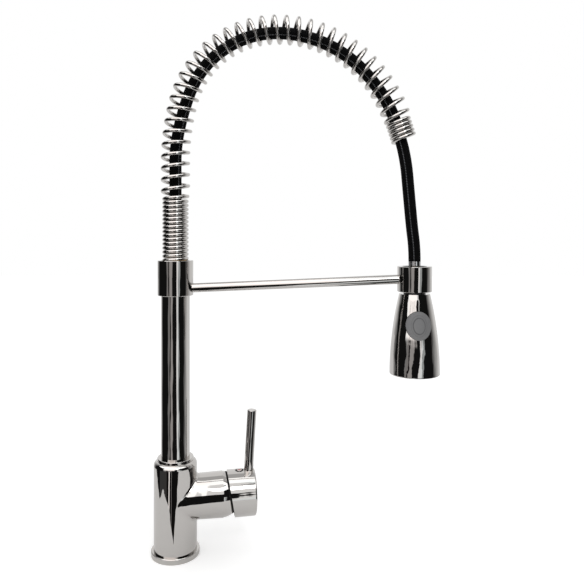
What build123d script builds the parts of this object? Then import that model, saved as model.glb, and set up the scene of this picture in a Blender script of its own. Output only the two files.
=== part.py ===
from build123d import *

import math
import os

os.makedirs("parts", exist_ok=True)

# A deck-mounted kitchen tap with a sprung hose arch and a hand spray docked in a ring.
# Millimetres, +Z up, the deck plane at z = 0 and the riser's axis at x = y = 0.
# The arch, the support arm and the spray lie in the XZ plane, and the viewer stands at -Y.

# ---------------------------------------------------------------- driving dimensions

# Clearances. Parts of one body that seat in each other have the seat gap.
seat_gap = 0.05
running_gap = 0.06
loose_gap = 0.3

# Cast body, its base ring and the seal under it.
body_d = 42.6
body_top_z = 93.4
shoulder_round = 4.5
base_ring_d = 47.8
base_ring_h = 5.2
base_floor_h = 2.0
base_bore_d = 32.0
base_ring_round = 0.8
base_seal_d = 43.0
base_seal_w = 3.0
base_seal_h = 1.2
recess_depth = 8.0
hose_socket_d = 9.2
hose_socket_depth = 14.0
hose_socket_spacing = 13.0
hose_socket_forward = 5.0
stud_socket_d = 6.8
stud_socket_depth = 16.0
stud_socket_back = 9.0

# Side branch with the mixing cartridge. Distances s run along it from the riser's axis.
branch_z = 54.9
branch_turn = 11.0
branch_root_d = 42.4
branch_end_d = 44.6
branch_end_s = 46.7
branch_fillet = 3.0
cartridge_d = 35.0
cartridge_seat_s = 15.9
cartridge_floor = 4.0
cartridge_wall = 2.0
port_d = 6.0
port_low = 6.0
port_high = 8.0
fixed_disc_d = 30.0
fixed_disc_h = 5.0
moving_disc_d = 18.0
moving_disc_h = 4.5
moving_disc_low = 2.8
disc_pocket_d = 7.0
disc_pocket_depth = 2.5
rotor_skirt_h = 9.0
rotor_skirt_wall = 2.0
rotor_neck_d = 18.4
rotor_neck_top_s = 50.9
cover_h = 3.0
pivot_s = 44.9
pivot_pin_d = 3.0
stem_w = 7.0
stem_arm_w = 4.5
stem_ball_d = 6.0
stem_top_s = 71.4
lever_open_angle = 22.0
nut_d = 38.0
nut_bore_d = 21.0
nut_collar_d = 32.0
nut_collar_h = 3.0
dome_in_cap = 0.8
dome_wall = 2.4
dome_end_s = 58.4

# Lever handle: the cap over the dome, its rod, grub screw and index plug.
cap_d = 45.8
cap_wall = 1.4
cap_rim_top_s = 51.3
cap_rim_low_s = 58.9
cap_solid_s = 68.6
cap_end_s = 79.7
cap_end_round = 1.6
cap_boss_d = 15.0
cap_boss_s = 60.9
lever_d = 9.4
lever_s = 73.4
lever_lean = 3.3
lever_length = 61.0
lever_round = 0.8
lever_sink = 1.0
lever_stud_d = 6.0
lever_stud_depth = 7.0
index_s = 63.9
index_d = 8.0
index_h = 1.6
index_sink = 0.7
index_knob_d = 5.4
index_knob_h = 1.0
index_knob_round = 0.4
index_peg_d = 4.6
handle_screw_d = 4.0

# Riser and its swivel foot.
riser_d = 28.2
riser_wall = 2.0
riser_length = 193.0
bush_d = 35.6
bush_h = 2.8
bush_round = 0.6
spigot_d = 24.6
spigot_bore_d = 16.0
spigot_depth = 19.4
spigot_plug_h = 16.0
oring_d = 2.4
oring_ups = (7.5, 14.5)
stop_groove_up = 3.0
stop_groove_h = 3.2
stop_groove_depth = 1.6
stop_screw_d = 5.0
stop_screw_tip_d = 2.6

# Collar on the riser's top, with the support arm.
collar_d = 35.2
collar_h = 34.8
collar_lip_h = 3.0
collar_lip_d = 27.8
collar_screw_d = 5.0
collar_screw_up = 14.6
edge_chamfer = 0.4
seat_flange_h = 1.0
seat_plug_h = 14.0
seat_nipple_h = 12.0
seat_nipple_wall = 1.0
arm_d = 9.4
arm_up = 6.6
arm_rise = 2.36
arm_inset = 2.3
arm_tip_inset = 3.3

# Holder ring for the spray.
head_x = 239.0
holder_d = 34.2
holder_h = 25.2
holder_below_arm = 12.85
holder_bore_d = 24.6
liner_wall = 1.3
liner_end_gap = 0.5

# Arch: bends are (radius, turn in degrees), all the same way, from straight up.
arch_first_run = 98.6
arch_bends = ((228.3, 15.7), (96.2, 73.6), (123.5, 45.6), (136.6, 27.1))
arch_end_run = 21.5
wire_d = 3.6
closed_coil_d = 26.2
open_coil_d = 29.2
closed_pitch = 4.06
closed_turns = 15
open_turns = 35
end_turns = 5

# Hose: in the arch it lies off the coil's axis, towards the inside of the bend.
hose_d = 12.0
hose_bore_d = 7.0
hose_low_crown = 3.4
hose_low_late = 4.0
hose_low_coil = 2.6
hose_low_end = 3.2
hose_low_rise = 0.21
hose_low_late_from = 0.5
hose_low_late_run = 0.25
hose_low_fall_from = 0.8
hose_low_fall_run = 0.14
hose_lean_length = 26.0

# Its free drop to the spray: points are (x, z) from the ferrule's top, chosen by hand.
drop_first_run = 17.0
drop_points = ((-5.6, 66.8), (-2.6, 33.8))
drop_last_run = 13.6

# Ferrule and swivel at the hose's end.
ferrule_d = 12.6
ferrule_h = 4.3
ferrule_up = 2.7
swivel_d = 9.2
swivel_bore_d = 6.0
swivel_flange_d = 13.0
swivel_flange_h = 3.0
swivel_depth = 16.2
swivel_nut_d = 16.4
swivel_washer_h = 1.6

# Spray head: the bell's outline is an arc through three circles, given with their drops.
head_gap = 2.1
bell_top_d = 30.6
bell_middle_d = 43.8
bell_middle_drop = 36.4
bell_rim_d = 49.8
bell_h = 79.9
bell_wall = 2.2
rim_round = 0.9
neck_d = 21.7
neck_h = 25.3
neck_bore_d = 10.0
core_stem_d = 16.0
core_d = 28.0
core_drop = 15.9
core_roof_h = 24.0
core_wall = 2.0
core_cup_d = 43.2
core_cup_h = 7.0
core_cup_wall = 1.4
core_cup_roof_h = 2.0
check_valve_up = 4.0
check_valve_h = 12.0
check_valve_wall = 2.5
face_inset = 1.6
face_h = 4.0
face_seat_h = 3.4
face_seat_wall = 1.4
nozzle_d = 1.8
nozzle_drop = 1.0
nozzle_counts = (8, 12, 16)
nozzle_ring_ds = (23.0, 29.2, 35.4)
aerator_d = 18.0
aerator_wall = 1.6
screen_h = 1.2
screen_hole_d = 1.8
screen_pitch = 3.0

# Spray button, with the valve spool behind it.
button_w = 24.4
button_h = 27.2
button_drop = 29.3
button_proud = 1.8
button_back_gap = 2.4
button_skirt_wall = 2.0
button_web_gap = 5.2
button_gap = 0.35
relief_w = 11.4
relief_h = 15.2
relief_proud = 0.5
spool_d = 6.0
spool_rod_d = 3.0
spool_land = 5.0
spool_past_axis = 9.0
spool_room = 3.0
spring_wire_d = 0.8
spring_coil_d = 9.0
spring_turns = 3

# ---------------------------------------------------------------- worked out from them

body_r = body_d / 2
turn = math.radians(branch_turn)
outward = Vector(math.cos(turn), math.sin(turn), 0)
sideways = Vector(math.sin(turn), -math.cos(turn), 0)
branch_axis = Axis((0, 0, branch_z), outward)
branch_end = Plane(origin=(0, 0, branch_z), x_dir=(0, 0, 1), z_dir=outward)
branch_side = Plane(origin=(0, 0, branch_z), x_dir=outward, z_dir=sideways)
foot_z = body_top_z + bush_h
spigot_floor_z = body_top_z - spigot_depth
riser_top_z = foot_z + riser_length
collar_top_z = riser_top_z + collar_lip_h
collar_bottom_z = collar_top_z - collar_h
arm_root_z = collar_bottom_z + arm_up
holder_bottom_z = arm_root_z + head_x * math.tan(math.radians(arm_rise)) - holder_below_arm
holder_top_z = holder_bottom_z + holder_h
bell_top_z = holder_bottom_z - head_gap
bell_rim_z = bell_top_z - bell_h
neck_top_z = bell_top_z + neck_h
ferrule_bottom_z = neck_top_z + ferrule_up
ferrule_top_z = ferrule_bottom_z + ferrule_h
swivel_bottom_z = neck_top_z - swivel_depth
core_top_z = bell_top_z - core_drop
face_z = bell_rim_z + face_inset
core_bottom_z = face_z + face_h
button_z = bell_top_z - button_drop
head_front = Plane(origin=(head_x, 0, 0), x_dir=(1, 0, 0), z_dir=(0, -1, 0))
head_axis = Axis((head_x, 0, 0), (0, 0, 1))
button_plane = Plane(origin=(head_x, 0, button_z), x_dir=(1, 0, 0), z_dir=(0, -1, 0))
wire_r = wire_d / 2
seat_top_z = riser_top_z + seat_flange_h
lead_fall = wire_d * closed_pitch / (math.pi * (closed_coil_d - wire_d))
coil_start_z = seat_top_z + wire_r + lead_fall + seat_gap
recess_z = base_floor_h + recess_depth


def level(z, x=0.0):
    """A horizontal plane at a height, centred on the riser or on another vertical axis."""
    return Plane(origin=(x, 0, z), x_dir=(1, 0, 0), z_dir=(0, 0, 1))


def rod(plane, radius, length, mode=Mode.ADD):
    """A round bar from a plane along its normal."""
    with BuildSketch(plane) as section:
        Circle(radius)
    extrude(section.sketch, amount=length, mode=mode)


def tube(plane, outer_r, inner_r, length):
    """A round tube from a plane along its normal."""
    with BuildSketch(plane) as section:
        Circle(outer_r)
        Circle(inner_r, mode=Mode.SUBTRACT)
    extrude(section.sketch, amount=length)


def at_branch(s, up=0.0, side=0.0):
    """A point at a distance along the branch, above its axis and towards the viewer."""
    return Vector(0, 0, branch_z) + outward * s + Vector(0, 0, up) + sideways * side


def save(part, name):
    """Label a finished piece and write it."""
    part.label = name
    export_step(part, f"parts/{name}.step")


# ---------------------------------------------------------------- base and body

with BuildPart() as base_ring:
    rod(level(0), base_ring_d / 2, base_ring_h)
    fillet(base_ring.edges().sort_by(Axis.Z)[-1], base_ring_round)
    rod(level(0), base_bore_d / 2, base_ring_h, Mode.SUBTRACT)
    rod(level(base_floor_h), body_r + seat_gap, base_ring_h, Mode.SUBTRACT)
    with BuildSketch(level(0)):
        Circle(base_seal_d / 2)
        Circle(base_seal_d / 2 - base_seal_w, mode=Mode.SUBTRACT)
    extrude(amount=base_seal_h, mode=Mode.SUBTRACT)
save(base_ring.part, "base_ring")

with BuildPart() as base_seal:
    tube(level(0), base_seal_d / 2, base_seal_d / 2 - base_seal_w, base_seal_h)
save(base_seal.part, "base_seal")

seat_plane = branch_end.offset(cartridge_seat_s)
nut_s = cartridge_seat_s + cartridge_floor + fixed_disc_h + moving_disc_h
nut_s = nut_s + rotor_skirt_h + cover_h + loose_gap
inlet_points = [
    at_branch(hose_socket_forward, 0, side * hose_socket_spacing / 2) for side in (-1, 1)
]

with BuildPart() as main_body:
    rod(level(base_floor_h), body_r, body_top_z - base_floor_h)
    with BuildSketch(branch_end):
        Circle(branch_root_d / 2)
    with BuildSketch(branch_end.offset(branch_end_s)):
        Circle(branch_end_d / 2)
    loft()
    crotch = main_body.edges().filter_by(lambda e: e.geom_type not in (GeomType.CIRCLE, GeomType.LINE))
    fillet(crotch, branch_fillet)
    rim = main_body.edges().filter_by(GeomType.CIRCLE).sort_by(Axis.Z)[-1]
    fillet(rim, shoulder_round)
    # Cartridge chamber, with the nut's thread at its mouth.
    rod(seat_plane, cartridge_d / 2 + seat_gap, branch_end_s, Mode.SUBTRACT)
    rod(branch_end.offset(nut_s), nut_d / 2 + seat_gap, branch_end_s, Mode.SUBTRACT)
    # Swivel socket from the top, and the outlet port that feeds it.
    rod(level(spigot_floor_z), spigot_d / 2 + running_gap, body_top_z, Mode.SUBTRACT)
    outlet_z = branch_z + port_high
    rod(level(outlet_z), port_d / 2, spigot_floor_z - outlet_z, Mode.SUBTRACT)
    with BuildSketch(branch_end):
        with Locations((port_high, 0)):
            Circle(port_d / 2)
    extrude(amount=cartridge_seat_s, mode=Mode.SUBTRACT)
    # Underside recess, hose sockets with their inlet ports, and the stud socket.
    rod(level(base_floor_h), base_bore_d / 2, recess_depth, Mode.SUBTRACT)
    for point in inlet_points:
        foot = Plane(origin=(point.X, point.Y, recess_z), z_dir=(0, 0, 1))
        rod(foot, hose_socket_d / 2, hose_socket_depth, Mode.SUBTRACT)
        rod(foot, port_d / 2, branch_z - port_low - recess_z, Mode.SUBTRACT)
    with BuildSketch(branch_end.offset(hose_socket_forward)):
        with Locations(*[(-port_low, side * hose_socket_spacing / 2) for side in (-1, 1)]):
            Circle(port_d / 2)
    extrude(amount=cartridge_seat_s - hose_socket_forward, mode=Mode.SUBTRACT)
    stud_foot = Plane(origin=at_branch(-stud_socket_back), z_dir=(0, 0, 1))
    stud_foot.origin = Vector(stud_foot.origin.X, stud_foot.origin.Y, recess_z)
    rod(stud_foot, stud_socket_d / 2, stud_socket_depth, Mode.SUBTRACT)
    # Tapped hole at the back for the screw that keeps the riser in.
    stop_groove_z = spigot_floor_z + stop_groove_up
    screw_plane = Plane(origin=(0, 0, stop_groove_z), z_dir=(-1, 0, 0))
    rod(screw_plane, stop_screw_d / 2, body_d, Mode.SUBTRACT)
save(main_body.part, "main_body")

spigot_groove_r = spigot_d / 2 - stop_groove_depth

with BuildPart() as spout_screw:
    with BuildSketch(screw_plane.offset(spigot_d / 2 + loose_gap)):
        Circle(stop_screw_d / 2 - seat_gap)
    extrude(amount=body_r - spigot_d / 2 - 2 * loose_gap)
    rod(screw_plane.offset(spigot_groove_r + loose_gap), stop_screw_tip_d / 2, stop_groove_depth)
save(spout_screw.part, "spout_screw")

with BuildPart() as riser_bush:
    tube(level(body_top_z), bush_d / 2, spigot_d / 2 + running_gap, bush_h)
    top_edges = riser_bush.edges().filter_by(GeomType.CIRCLE).group_by(Axis.Z)[-1]
    fillet(top_edges.sort_by(SortBy.LENGTH)[-1], bush_round)
save(riser_bush.part, "riser_bush")

# ---------------------------------------------------------------- mixing cartridge

cup_r = cartridge_d / 2
cup_inner_r = cup_r - cartridge_wall
disc_s = cartridge_seat_s + cartridge_floor
moving_s = disc_s + fixed_disc_h
skirt_s = moving_s + moving_disc_h + loose_gap
cover_s = skirt_s + rotor_skirt_h
port_spots = [(port_high, 0)] + [(-port_low, side * hose_socket_spacing / 2) for side in (-1, 1)]
seal_groove = 1.4

with BuildPart() as cartridge_body:
    rod(seat_plane, cup_r, cover_s - cartridge_seat_s)
    rod(seat_plane.offset(cartridge_floor), cup_inner_r, cover_s, Mode.SUBTRACT)
    with BuildSketch(seat_plane):
        with Locations(*port_spots):
            Circle(port_d / 2)
    extrude(amount=cartridge_floor, mode=Mode.SUBTRACT)
    with BuildSketch(seat_plane):
        with Locations(*port_spots):
            Circle(port_d / 2 + seal_groove)
    extrude(amount=seal_groove, mode=Mode.SUBTRACT)
save(cartridge_body.part, "cartridge_body")

with BuildPart() as cartridge_seals:
    with BuildSketch(seat_plane):
        with Locations(*port_spots):
            Circle(port_d / 2 + seal_groove)
            Circle(port_d / 2, mode=Mode.SUBTRACT)
    extrude(amount=seal_groove)
save(cartridge_seals.part, "cartridge_seals")

with BuildPart() as fixed_disc:
    rod(branch_end.offset(disc_s), fixed_disc_d / 2, fixed_disc_h)
    with BuildSketch(branch_end.offset(disc_s)):
        with Locations(*port_spots):
            Circle(port_d / 2)
    extrude(amount=fixed_disc_h, mode=Mode.SUBTRACT)
save(fixed_disc.part, "fixed_disc")

moving_plane = branch_end.offset(moving_s)

with BuildPart() as moving_disc:
    with BuildSketch(moving_plane):
        with Locations((-moving_disc_low, 0)):
            Circle(moving_disc_d / 2)
    extrude(amount=moving_disc_h)
    with BuildSketch(moving_plane.offset(moving_disc_h - disc_pocket_depth)):
        Circle(disc_pocket_d / 2)
    extrude(amount=disc_pocket_depth, mode=Mode.SUBTRACT)
save(moving_disc.part, "moving_disc")

slot_length = stem_w + 2 * stem_w * math.tan(math.radians(lever_open_angle)) + 2 * loose_gap

with BuildPart() as cartridge_rotor:
    rod(branch_end.offset(skirt_s), cup_inner_r - running_gap, rotor_skirt_h - running_gap)
    rod(branch_end.offset(cover_s - running_gap), rotor_neck_d / 2, rotor_neck_top_s - cover_s)
    rod(branch_end.offset(skirt_s), cup_inner_r - rotor_skirt_wall,
        rotor_skirt_h - rotor_skirt_wall, Mode.SUBTRACT)
    with BuildSketch(branch_end.offset(skirt_s)):
        Rectangle(slot_length, stem_w + 2 * running_gap)
    extrude(amount=rotor_neck_top_s, mode=Mode.SUBTRACT)
    with BuildSketch(branch_side.offset(-rotor_neck_d)):
        with Locations((pivot_s, 0)):
            Circle(pivot_pin_d / 2)
    extrude(amount=2 * rotor_neck_d, mode=Mode.SUBTRACT)
save(cartridge_rotor.part, "cartridge_rotor")

with BuildPart() as pivot_pin:
    with BuildSketch(branch_side):
        with Locations((pivot_s, 0)):
            Circle(pivot_pin_d / 2)
    extrude(amount=rotor_neck_d / 2 - loose_gap, both=True)
save(pivot_pin.part, "pivot_pin")

with BuildPart() as cartridge_cover:
    tube(branch_end.offset(cover_s), cup_r, rotor_neck_d / 2 + running_gap, cover_h)
save(cartridge_cover.part, "cartridge_cover")

nut_seat_s = cover_s + cover_h

with BuildPart() as cartridge_nut:
    tube(branch_end.offset(nut_seat_s), nut_d / 2, nut_bore_d / 2, branch_end_s - nut_seat_s)
    tube(branch_end.offset(branch_end_s), nut_collar_d / 2, nut_bore_d / 2, nut_collar_h)
save(cartridge_nut.part, "cartridge_nut")

cap_r = cap_d / 2
dome_sphere_d = cap_d - 2 * dome_in_cap
dome_r = dome_sphere_d / 2
dome_inner_r = dome_r - dome_wall


def dome_spot(radius, s):
    """Where a circle about the pivot stands at a distance along the branch, on the side plane."""
    return (s, math.sqrt(radius ** 2 - (s - pivot_s) ** 2))


with BuildPart() as cartridge_dome:
    with BuildSketch(branch_side):
        with BuildLine():
            dome_mid_s = (branch_end_s + dome_end_s) / 2
            foot_s = branch_end_s + nut_collar_h
            outer_start = dome_spot(dome_r, branch_end_s)
            outer_end = dome_spot(dome_r, dome_end_s)
            inner_start = dome_spot(dome_inner_r, foot_s)
            inner_end = dome_spot(dome_inner_r, dome_end_s)
            ThreePointArc(outer_start, dome_spot(dome_r, dome_mid_s), outer_end)
            Line(outer_end, inner_end)
            ThreePointArc(inner_end, dome_spot(dome_inner_r, (foot_s + dome_end_s) / 2), inner_start)
            Polyline(inner_start, (foot_s, nut_collar_d / 2 + seat_gap),
                     (branch_end_s, nut_collar_d / 2 + seat_gap), outer_start)
        make_face()
    revolve(axis=branch_axis)
save(cartridge_dome.part, "cartridge_dome")

# ---------------------------------------------------------------- lever handle

ball_s = moving_s + moving_disc_h - disc_pocket_depth + stem_ball_d / 2 + loose_gap

with BuildPart() as cartridge_stem:
    with BuildSketch(branch_end.offset(ball_s)):
        Rectangle(stem_arm_w, stem_arm_w)
    extrude(amount=pivot_s - stem_w / 2 - ball_s)
    with BuildSketch(branch_end.offset(pivot_s - stem_w / 2)):
        Rectangle(stem_w, stem_w)
    extrude(amount=stem_top_s - pivot_s + stem_w / 2)
    with Locations(at_branch(ball_s)):
        Sphere(stem_ball_d / 2)
    with BuildSketch(branch_side.offset(-stem_w)):
        with Locations((pivot_s, 0)):
            Circle(pivot_pin_d / 2 + running_gap)
    extrude(amount=2 * stem_w, mode=Mode.SUBTRACT)
save(cartridge_stem.part, "cartridge_stem")

lever_tilt = math.radians(lever_lean)
lever_way = outward * math.sin(lever_tilt) + Vector(0, 0, 1) * math.cos(lever_tilt)
lever_root = at_branch(lever_s, cap_r)
lever_plane = Plane(origin=lever_root, x_dir=sideways, z_dir=lever_way)

with BuildPart() as handle_cap:
    rod(branch_end.offset(pivot_s), cap_r, cap_end_s - pivot_s)
    fillet(handle_cap.edges().filter_by(GeomType.CIRCLE).sort_by(branch_axis)[-1], cap_end_round)
    rod(branch_end.offset(pivot_s), cap_r - cap_wall, cap_solid_s - pivot_s, Mode.SUBTRACT)
    rod(branch_end.offset(cap_boss_s), cap_boss_d / 2, cap_solid_s - cap_boss_s)
    # The rim is cut on a slant, nearer the body at the top than below.
    with BuildSketch(branch_side.offset(-cap_d)):
        with BuildLine():
            slant_low = (cap_rim_low_s, -cap_r)
            slant_top = (cap_rim_top_s, cap_r)
            slope = (slant_top[0] - slant_low[0]) / cap_d
            Polyline((0, -cap_d), (slant_low[0] - slope * cap_r, -cap_d),
                     (slant_top[0] + slope * cap_r, cap_d), (0, cap_d), close=True)
        make_face()
    extrude(amount=2 * cap_d, mode=Mode.SUBTRACT)
    # Square socket for the stem, the screw's and plug's holes, and the rod's tapped hole.
    with BuildSketch(branch_end.offset(cap_boss_s)):
        Rectangle(stem_w + 2 * seat_gap, stem_w + 2 * seat_gap)
    extrude(amount=stem_top_s + seat_gap - cap_boss_s, mode=Mode.SUBTRACT)
    screw_foot = Plane(origin=at_branch(index_s), x_dir=outward, z_dir=(0, 0, 1))
    rod(screw_foot, handle_screw_d / 2, cap_r - cap_wall, Mode.SUBTRACT)
    rod(screw_foot.offset(cap_boss_d / 2), index_d / 2, cap_r, Mode.SUBTRACT)
    rod(lever_plane.offset(-lever_stud_depth), lever_stud_d / 2, 2 * lever_stud_depth, Mode.SUBTRACT)
    rod(lever_plane.offset(-lever_sink), lever_d / 2 + seat_gap, 2 * lever_d, Mode.SUBTRACT)
save(handle_cap.part, "handle_cap")

with BuildPart() as lever_rod:
    rod(lever_plane.offset(-lever_sink), lever_d / 2, lever_length + lever_sink)
    fillet(lever_rod.edges().sort_by(Axis.Z)[-1], lever_round)
    rod(lever_plane.offset(-lever_stud_depth), lever_stud_d / 2, lever_stud_depth)
save(lever_rod.part, "lever_rod")

with BuildPart() as handle_screw:
    rod(screw_foot.offset(stem_w / 2), handle_screw_d / 2 - seat_gap, (cap_boss_d - stem_w) / 2)
save(handle_screw.part, "handle_screw")

with BuildPart() as index_plug:
    index_top = cap_r - index_sink
    rod(screw_foot.offset(index_top), index_knob_d / 2, index_knob_h)
    fillet(index_plug.edges().filter_by(GeomType.CIRCLE).sort_by(Axis.Z)[-1], index_knob_round)
    rod(screw_foot.offset(index_top - index_h), index_d / 2 - seat_gap, index_h)
    rod(screw_foot.offset(index_top - 2 * index_h), index_peg_d / 2, index_h)
save(index_plug.part, "index_plug")

# ---------------------------------------------------------------- riser

riser_r = riser_d / 2
riser_bore_r = riser_r - riser_wall

with BuildPart() as riser_spigot:
    rod(level(spigot_floor_z + loose_gap), spigot_d / 2, foot_z - spigot_floor_z - loose_gap)
    rod(level(foot_z), riser_bore_r - seat_gap, spigot_plug_h)
    rod(level(spigot_floor_z), spigot_bore_d / 2, foot_z, Mode.SUBTRACT)
    for up in oring_ups:
        with Locations((0, 0, spigot_floor_z + up)):
            Torus(spigot_d / 2 - oring_d / 2 + running_gap, oring_d / 2, mode=Mode.SUBTRACT)
    with BuildSketch(level(stop_groove_z - stop_groove_h / 2)):
        Circle(spigot_d)
        Circle(spigot_groove_r, mode=Mode.SUBTRACT)
    extrude(amount=stop_groove_h, mode=Mode.SUBTRACT)
save(riser_spigot.part, "riser_spigot")

with BuildPart() as spigot_orings:
    for up in oring_ups:
        with Locations((0, 0, spigot_floor_z + up)):
            Torus(spigot_d / 2 - oring_d / 2 + running_gap, oring_d / 2)
save(spigot_orings.part, "spigot_orings")

with BuildPart() as riser_tube:
    tube(level(foot_z), riser_r, riser_bore_r, riser_top_z - foot_z)
save(riser_tube.part, "riser_tube")

# ---------------------------------------------------------------- collar, arm and holder

rise = math.radians(arm_rise)
arm_way = Vector(math.cos(rise), 0, math.sin(rise))
arm_from = collar_d / 2 - arm_inset
arm_start = Vector(0, 0, arm_root_z) + arm_way * arm_from
arm_plane = Plane(origin=arm_start, x_dir=(0, 1, 0), z_dir=arm_way)
liner_r = holder_bore_d / 2
liner_bore_r = liner_r - liner_wall
arm_length = (head_x - holder_d / 2 + arm_tip_inset) / math.cos(rise) - arm_from

with BuildPart() as riser_collar:
    rod(level(collar_bottom_z), collar_d / 2, collar_top_z - collar_bottom_z)
    rod(level(collar_bottom_z), riser_r + seat_gap, riser_top_z - collar_bottom_z, Mode.SUBTRACT)
    rod(level(riser_top_z), collar_lip_d / 2, collar_top_z, Mode.SUBTRACT)
    rod(arm_plane, arm_d / 2, collar_d, Mode.SUBTRACT)
    back = Plane(origin=(0, 0, collar_bottom_z + collar_screw_up), z_dir=(-1, 0, 0))
    rod(back, collar_screw_d / 2, collar_d, Mode.SUBTRACT)
    lip_edges = riser_collar.edges().filter_by(GeomType.CIRCLE)
    chamfer(lip_edges.group_by(SortBy.RADIUS)[-1], edge_chamfer)
save(riser_collar.part, "riser_collar")

with BuildPart() as collar_screw:
    rod(back.offset(riser_r + seat_gap), collar_screw_d / 2 - seat_gap,
        collar_d / 2 - riser_r - 2 * loose_gap)
save(collar_screw.part, "collar_screw")

with BuildPart() as support_arm:
    rod(arm_plane, arm_d / 2, arm_length)
save(support_arm.part, "support_arm")

with BuildPart() as holder_ring:
    tube(level(holder_bottom_z, head_x), holder_d / 2, liner_r, holder_top_z - holder_bottom_z)
    chamfer(holder_ring.edges().filter_by(GeomType.CIRCLE).group_by(SortBy.RADIUS)[-1], edge_chamfer)
    rod(arm_plane, arm_d / 2, arm_length, Mode.SUBTRACT)
save(holder_ring.part, "holder_ring")

liner_h = holder_top_z - holder_bottom_z - 2 * liner_end_gap

with BuildPart() as holder_liner:
    tube(level(holder_bottom_z + liner_end_gap, head_x), liner_r, liner_bore_r, liner_h)
save(holder_liner.part, "holder_liner")

with BuildPart() as spring_seat:
    rod(level(riser_top_z - seat_plug_h), riser_bore_r - seat_gap, seat_plug_h)
    rod(level(riser_top_z), collar_lip_d / 2 - seat_gap, seat_flange_h)
    rod(level(seat_top_z), hose_bore_d / 2, seat_nipple_h)
    nipple_bore_r = hose_bore_d / 2 - seat_nipple_wall
    rod(level(riser_top_z - seat_plug_h), nipple_bore_r, collar_top_z, Mode.SUBTRACT)
save(spring_seat.part, "spring_seat")

# ---------------------------------------------------------------- routes and coils


def bends_of(bends):
    """Arc lengths and turns, in degrees, of bends given as (radius, turn)."""
    return [(radius * math.radians(angle), angle) for radius, angle in bends]


def along(route, start_z, distance):
    """The x, z and heading in radians at a distance along a route that starts straight up."""
    x, z, heading = 0.0, start_z, math.pi / 2
    for index, (length, angle) in enumerate(route):
        last = index == len(route) - 1
        step = distance if last else min(distance, length)
        if angle == 0:
            x += step * math.cos(heading)
            z += step * math.sin(heading)
        else:
            radius = length / math.radians(angle)
            after = heading - step / radius
            x += radius * (math.sin(heading) - math.sin(after))
            z += radius * (math.cos(after) - math.cos(heading))
            heading = after
        distance -= step
        if distance <= 0 and not last:
            break
    return x, z, heading


def halves(p, p_way, q, q_way):
    """The point where the two arcs that join two points with given directions meet."""
    chord = q - p
    ways = p_way + q_way
    across = 2 * (1 - p_way.dot(q_way))
    reach = chord.dot(ways)
    if across < 1e-9:
        size = chord.dot(chord) / (2 * reach)
    else:
        size = (math.sqrt(reach * reach + across * chord.dot(chord)) - reach) / across
    return (p + p_way * size + q - q_way * size) / 2


def arc(p, way, q):
    """An arc from p in a direction to q, or a line where q lies straight ahead."""
    straight_within = 1e-5
    if way.cross((q - p).normalized()).length < straight_within:
        return Edge.make_line(p, q)
    return Edge.make_tangent_arc(p, way, q)


def arcs_through(point_at, places):
    """Two arcs from each place on a curve to the next, with the directions at the places."""
    small = 1e-4
    spots = [point_at(place) for place in places]
    ways = [
        (point_at(place + small) - point_at(place - small)).normalized() for place in places
    ]
    edges = []
    for k in range(len(places) - 1):
        middle = halves(spots[k], ways[k], spots[k + 1], ways[k + 1])
        first = arc(spots[k], ways[k], middle)
        edges.append(first)
        edges.append(arc(middle, first % 1, spots[k + 1]))
    return edges, spots, ways


def coil_wire(point_at, turns, steps, lead):
    """A coil's line of arcs, with a straight lead at both ends, its start and its direction."""
    places = [k / steps for k in range(turns * steps + 1)]
    edges, spots, ways = arcs_through(point_at, places)
    start = spots[0] - ways[0] * lead
    lead_in = Edge.make_line(start, spots[0])
    lead_out = Edge.make_line(spots[-1], spots[-1] + ways[-1] * lead)
    return Wire([lead_in] + edges + [lead_out]), start, ways[0]


def least_gap(point_at, turns, thickness, per_turn=48):
    """The least gap between a coil and itself, measured on points along it."""
    points = [point_at(k / per_turn) for k in range(turns * per_turn + 1)]
    least = math.inf
    for i, p in enumerate(points):
        for q in points[i + per_turn // 2:i + 2 * per_turn]:
            least = min(least, (q - p).length)
    return least - thickness


arch_route = [(arch_first_run, 0)] + bends_of(arch_bends) + [(arch_end_run, 0)]
arch_length = sum(length for length, angle in arch_route)
turns_in_all = closed_turns + open_turns + end_turns
open_length = arch_length - (closed_turns + end_turns) * closed_pitch
open_pitch = closed_pitch + (open_length - open_turns * closed_pitch) / (open_turns - 1)
closed_coil_r = (closed_coil_d - wire_d) / 2
open_coil_r = (open_coil_d - wire_d) / 2


def opened(u):
    """How open the coil is at turn u: 0 where it is closed, 1 in the arch."""
    rising = u - closed_turns
    falling = turns_in_all - end_turns - u
    return max(0.0, min(1.0, rising, falling))


def coil_distance(u):
    """The distance along the arch's axis at turn u, with the pitch summed in closed form."""
    rising = min(max(u - closed_turns, 0.0), open_turns)
    spread = min(rising, 1.0) ** 2 / 2 + min(max(rising - 1.0, 0.0), open_turns - 2.0)
    late = max(rising - (open_turns - 1.0), 0.0)
    spread += late - late * late / 2
    return closed_pitch * u + (open_pitch - closed_pitch) * spread


def arch_wire_point(u):
    """A point on the arch spring's wire at turn u, a right-handed coil about the route."""
    x, z, heading = along(arch_route, coil_start_z, coil_distance(u))
    radius = closed_coil_r + (open_coil_r - closed_coil_r) * opened(u)
    phase = 2 * math.pi * u
    out = radius * math.cos(phase)
    return Vector(x - out * math.sin(heading), -radius * math.sin(phase), z + out * math.cos(heading))


with BuildPart() as arch_spring:
    coil_path, coil_start, coil_way = coil_wire(arch_wire_point, turns_in_all, 4, wire_d)
    with BuildSketch(Plane(origin=coil_start, z_dir=coil_way)):
        Circle(wire_r)
    sweep(path=coil_path)
save(arch_spring.part, "arch_spring")
print("arch spring least gap", round(least_gap(arch_wire_point, turns_in_all, wire_d), 2))
print("arch spring open pitch", round(open_pitch, 2), "end", along(arch_route, coil_start_z, arch_length))

# ---------------------------------------------------------------- hose

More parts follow.
